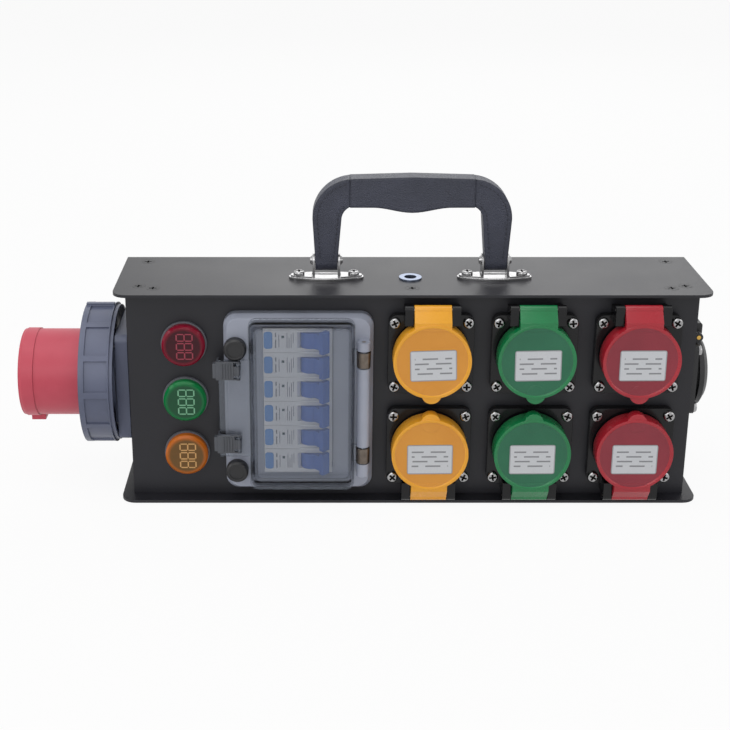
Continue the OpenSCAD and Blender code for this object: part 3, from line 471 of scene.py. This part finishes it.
# ---------- Lid labels ----------
# Rounded labels of silver foil with a thin printed frame. The print is left generic: plain
# grey bars where a rating label has its rows.
label_w, label_h = 31.5, 22.0
label_foil, place = finish("label_foil", Metallic=0.25)
sheet = Wire(label_foil.node_tree, label_foil.node_tree.nodes["Texture Coordinate"].outputs["UV"])
parts = label_foil.node_tree.nodes.new("ShaderNodeSeparateXYZ")
label_foil.node_tree.links.new(sheet.socket, parts.inputs[0])
across, up = (Wire(label_foil.node_tree, parts.outputs[i]) for i in (0, 1))
rows = up * 6.2
row = rows.math("FLOOR", rows)
height = rows.math("FRACT", rows)
words = (across * 13 + row * 3.7).math("SINE", across * 13 + row * 3.7)
bars = ((height > 0.34) * (height < 0.66) * (words > -0.55) * (across > 0.1) * (across < 0.9)
        * (row > 0.5) * (row < 4.5))
edge_x = across.math("ABSOLUTE", across - 0.5)
edge_y = up.math("ABSOLUTE", up - 0.5)
border = (edge_x > 0.478).math("MAXIMUM", edge_x > 0.478, edge_y > 0.468)
foil = place.noise(900, 2).mix(tint(196, 198, 202), tint(208, 210, 214))
ink = bars.math("MAXIMUM", bars * 0.62, border * 0.45)
drive(label_foil, Base_Color=ink.mix(foil, tint(58, 60, 64)), Roughness=0.42 + ink * 0.2,
      Normal=relief(place, place.noise(700), 0.00002))

label = block("label", (-label_w / 2, label_w / 2), (-label_h / 2, label_h / 2), (0, 0.3))
pick(label, lambda middle, direction: abs(direction.z) > 0.9, "EDGE")
bpy.ops.mesh.bevel(offset=1.6 * MM, segments=5, affect="EDGES")
done()
uv = label.data.uv_layers[0]
for loop in label.data.loops:
    at = label.data.vertices[loop.vertex_index].co / MM
    uv.data[loop.index].uv = (at.x / label_w + 0.5, at.y / label_h + 0.5)

for face in lid.data.polygons:
    middle = face.center / MM
    in_recess = middle.z > 21.1 and math.hypot(middle.x, middle.y) < lid_r - lid_rim - 0.9
    face.material_index = int(in_recess and face.normal.z > 0.9)
lid_finish = {
    "yellow": (lid_yellow, moulding("lid_face_yellow", (222, 148, 50), (228, 156, 58), 0.42, 1100, 0.00012)),
    "green": (lid_green, moulding("lid_face_green", (22, 96, 66), (34, 108, 76), 0.42, 1100, 0.00012)),
    "red": (lid_red, moulding("lid_face_red", (132, 36, 50), (146, 44, 58), 0.42, 1100, 0.00012))}
for column, (colour, (plastic, grained)) in enumerate(lid_finish.items()):
    for row_name, side, turn, dx, dz, lean in (("upper", 1, 0.0, 0.7, -2.5, 0.028),
                                               ("lower", -1, math.pi, 0.0, -3.4, 0.008)):
        x = outlet_x0 + column * outlet_pitch_x
        z = outlet_mid_z + side * outlet_pitch_z / 2
        name = "%s_%s" % (colour, row_name)
        made = twin(lid, "moulded_lid_" + name, front(x, z, turn=turn))
        fit(made, "lid_" + name, "lid_" + colour, plastic, grained, nodes=["outlet_lid_" + name])
        made = twin(label, "lid_label_" + name,
                    front(x + dx, z + dz, lid_face - rim_depth - 0.05, turn + lean * (1.2 - column * 0.5)))
        fit(made, "lid_" + name, "pale_grey_plastic", label_foil)
bpy.data.objects.remove(lid)
bpy.data.objects.remove(label)

# ---------- Panel screws ----------
# M4 pan head screws, nickel plated, with a cross recess and a ring at the foot of the crown painted dark as
# painted shade: four at each outlet, at the inlet and at the side outlet, two in each handle base.
head_r, head_h, recess_w, recess_depth = 3.9, 2.6, 1.35, 1.5
# Painted shade: a dark, rough colour for the shadow inside the cross recess and round the foot of the crown.
painted_recess_shade, place = finish("painted_recess_shade", Specular_IOR_Level=0.1)
drive(painted_recess_shade, Base_Color=place.noise(900).mix(tint(14, 13, 12), tint(30, 28, 26)),
      Roughness=0.6 + place.noise(700) * 0.1)
screw = bar("screw", head_r, 0, head_h, sides=48)
pick(screw, lambda middle, direction: middle.z > head_h - 0.01 and abs(direction.z) < 0.1, "EDGE")
bpy.ops.mesh.bevel(offset=1.5 * MM, segments=5, affect="EDGES")
done()
for turn in (0, 1):
    arm = block("arm", (-2.5, 2.5), (-recess_w / 2, recess_w / 2), (head_h - recess_depth, 4))
    arm.data.transform(Matrix.Rotation(turn * math.pi / 2, 4, "Z"))
    combine(screw, arm, "DIFFERENCE")
combine(screw, bar("shank", 1.9, -7, 0.5, sides=24))
screw.data.materials.append(bright_plate)
screw.data.materials.append(painted_recess_shade)
for face in screw.data.polygons:
    middle = face.center / MM
    in_recess = 0.9 < middle.z < head_h - 0.02 and math.hypot(middle.x, middle.y) < 2.45
    # The recess walls, the recess floor and a band at the foot of the crown take the painted shade.
    face.material_index = int(in_recess and abs(face.normal.z) < 0.3 or 0.9 < middle.z < 1.3)
bpy.ops.object.select_all(action="DESELECT")
screw.select_set(True)
bpy.ops.object.shade_smooth_by_angle(angle=math.radians(30))

places = []
for column in range(3):
    for side in (-1, 1):
        for sx in (-25.0, 25.0):
            for sz in (-23.2, 23.2):
                places.append(front(outlet_x0 + column * outlet_pitch_x + sx,
                                    outlet_mid_z + side * outlet_pitch_z / 2 + sz, 7,
                                    turn=0.9 * column + sx * 0.07 + sz * 0.05 + side))
handle_y = sum(corner[1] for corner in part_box("handle_bases")) / 2 / MM
for leg in (-58.5, 58.5):
    places += [Matrix.Translation(Vector((leg + s * 19, handle_y, 158)) * MM) for s in (-1, 1)]
for a in (-1, 1):
    for b in (-1, 1):
        places.append(Matrix.Translation(Vector((-205.7, 5 + b * 24.5, 80.2 + a * 31)) * MM)
                      @ Matrix.Rotation(-math.pi / 2, 4, "Y"))
        places.append(Matrix.Translation(Vector((202.5, 5 + b * 21.5, 83 + a * 21.5)) * MM)
                      @ Matrix.Rotation(math.pi / 2, 4, "Y"))
for z in (26.0, 117.0):
    places.append(front(-120.7, z, 10))
heads = join("panel_screw_heads", [twin(screw, "head", place) for place in places])
fit(heads, "case", "bright_steel", bright_plate, painted_recess_shade, nodes=["panel_screws"])
bpy.data.objects.remove(screw)

# ---------- Meter digits ----------
# Each voltmeter shows three seven-segment figures, all segments lit: plain eights lying on
# their side, one above the other, behind the coloured lens.
meter_x, meter_z, meter_pitch, digit_out = -156.4, 76.2, 40.8, 8.45
segments = [block("segment", (u - 0.45, u + 0.45), (-2.0, 2.0), (0, 0.12)) for u in (-5.4, 0, 5.4)]
segments += [block("segment", (u - 2.2, u + 2.2), (v - 0.4, v + 0.4), (0, 0.12))
             for u in (-2.7, 2.7) for v in (-2.4, 2.4)]
digit = join("digit", segments)
for colour, step, glow in (("red", 1, (150, 52, 70)), ("green", 0, (118, 176, 140)),
                           ("amber", -1, (206, 160, 100))):
    lit, place = finish("lit_" + colour, Emission_Strength=0.1)
    shade = place.noise(300).mix(tint(*glow), tint(*[c - 10 for c in glow]))
    drive(lit, Base_Color=shade, Emission_Color=shade, Roughness=0.4 + place.noise(500) * 0.1)
    figures = join("meter_digits_" + colour, [
        twin(digit, "figure", front(meter_x + 1, meter_z + step * meter_pitch + row * 6.6, digit_out))
        for row in (-1, 0, 1)])
    fit(figures, "case", "lens_" + colour, lit)
bpy.data.objects.remove(digit)

# ---------- Handle stitching ----------
# Thick dark thread sewn through the leather cover, along its outer and inner edges from
# the feet to the grip sleeve, the same on the front and on the back.
leg_x, leg_half, foot_z, handle_top = 58.5, 7.6, 173.0, 228.5
corner_x, corner_r, sleeve_half = 68.1, 28.0, 42.5
thread, place = finish("thread")
drive(thread, Base_Color=place.noise(900).mix(tint(26, 28, 36), tint(44, 46, 56)),
      Roughness=0.6 + place.noise(700) * 0.1)
stitch = fresh("uv_sphere", "stitch", segments=8, ring_count=6, radius=MM)
stitch.scale = (1.15, 0.35, 0.3)
apply_place()
bpy.ops.object.shade_smooth()
outer = [(leg_x + leg_half - 3.2, foot_z)]
inner = [(leg_x - leg_half + 2.6, foot_z)]
for step in range(13):
    turn = math.radians(7 * step)
    outer.append((corner_x - corner_r + (corner_r - 3.2) * math.cos(turn),
                  handle_top - 1 - corner_r + (corner_r - 3.2) * math.sin(turn)))
    inner.append((leg_x - 20.2 + 12.6 * math.cos(turn), handle_top - 29.4 + 12.6 * math.sin(turn)))
sewn = []
for seam in (outer, inner):
    left = 0.0
    for (x0, z0), (x1, z1) in zip(seam, seam[1:]):
        length = math.hypot(x1 - x0, z1 - z0)
        while left < length:
            x, z = x0 + (x1 - x0) * left / length, z0 + (z1 - z0) * left / length
            left += 3.3
            if x < sleeve_half + 2:
                continue
            for side in (-1, 1):
                for y in (handle_y - 8.0, handle_y + 6.0):
                    lean = -math.atan2(z1 - z0, (x1 - x0) * side)
                    sewn.append(twin(stitch, "stitch", Matrix.Translation(Vector((x * side, y, z)) * MM)
                                     @ Matrix.Rotation(lean, 4, "Y")))
        left -= length
seams = join("handle_stitches", sewn)
fit(seams, "handle", "black_leather", thread)
bpy.data.objects.remove(stitch)

# ---------- Breaker fronts ----------
# White mouldings, with a printed blue patch at the end of each, a small dark test window, rows of
# rating print left as plain bars, and a rounded rib between one toggle and the next.
breaker_x, breaker_low, breaker_pitch = -78.2, 22.6, 18.0
nose_half, nose_out, toggle_x = 23.6, 8.0, 8.9
print_blue = moulding("print_blue", (64, 122, 192), (80, 138, 204), 0.4)
print_grey = moulding("print_grey", (104, 108, 116), (128, 132, 140), 0.5)
print_dark = moulding("print_dark", (44, 66, 72), (58, 82, 88), 0.4)
patch = block("patch", (0.5, 6.4), (-6.2, 6.2), (0, 0.12))
pick(patch, lambda middle, direction: abs(direction.z) > 0.9, "EDGE")
bpy.ops.mesh.bevel(offset=1.8 * MM, segments=4, affect="EDGES")
done()
marks = join("marks", [block("mark", (x, x + w), (a, b), (0, 0.1)) for x, w, a, b in (
    (8.2, 0.8, -5.5, 0.5), (8.2, 0.8, 2.5, 5.5), (10.6, 0.45, -5.0, 4.2), (16.2, 0.4, -5.5, 5.5),
    (17.6, 0.4, -5.5, 1.8), (19.0, 0.4, -5.5, 4.6), (20.4, 0.4, -2.2, 5.5))])
window = block("test_window", (12.6, 14.4), (1.6, 3.4), (0, 0.15))
rib = bar("rib", 1.1, toggle_x - 7.5 + nose_half, toggle_x + 8.5 + nose_half, at=(0, 0.1), along="x", sides=24)
for piece, name, slot_name, material, shift in (
        (patch, "breaker_patches", "blue_toggle", print_blue, 0.0),
        (marks, "breaker_print", "pale_grey_plastic", print_grey, 0.0),
        (window, "breaker_test_windows", "black_plastic", print_dark, 0.0),
        (rib, "breaker_ribs", "white_breaker", breaker_white, 0.5)):
    made = [twin(piece, name, front(breaker_x - nose_half,
                                    breaker_low + (i + 0.5 + shift) * breaker_pitch, nose_out))
            for i in range(6 - int(shift * 2))]
    bpy.data.objects.remove(piece)
    fit(join(name, made), "case", slot_name, material)

# ---------- Hinge sleeves ----------
# Two short sleeves of browned steel tube, pressed over the clear lid's knuckles, so that the
# plastic doesn't wear on the frame.
sleeve_x, sleeve_y, sleeve_r, knuckle_r = -33.2, -49.2, 4.75, 4.42
browned, place = finish("browned_steel", Metallic=0.85)
drive(browned, Base_Color=place.noise(260).mix(tint(84, 76, 70), tint(128, 118, 108)),
      Roughness=0.24 + place.noise(700) * 0.14, Normal=relief(place, place.noise(700), 0.00002))
tubes = []
for low, high in ((34.4, 45.4), (105.4, 116.2)):
    tube = bar("tube", sleeve_r, low, high, at=(sleeve_x, sleeve_y), sides=48)
    combine(tube, bar("bore", knuckle_r, low - 1, high + 1, at=(sleeve_x, sleeve_y), sides=48),
            "DIFFERENCE")
    soften(tube, 0.12, 2)
    tubes.append(tube)
fit(join("lid_hinge_sleeves", tubes), "window_lid", "strap_steel", browned)
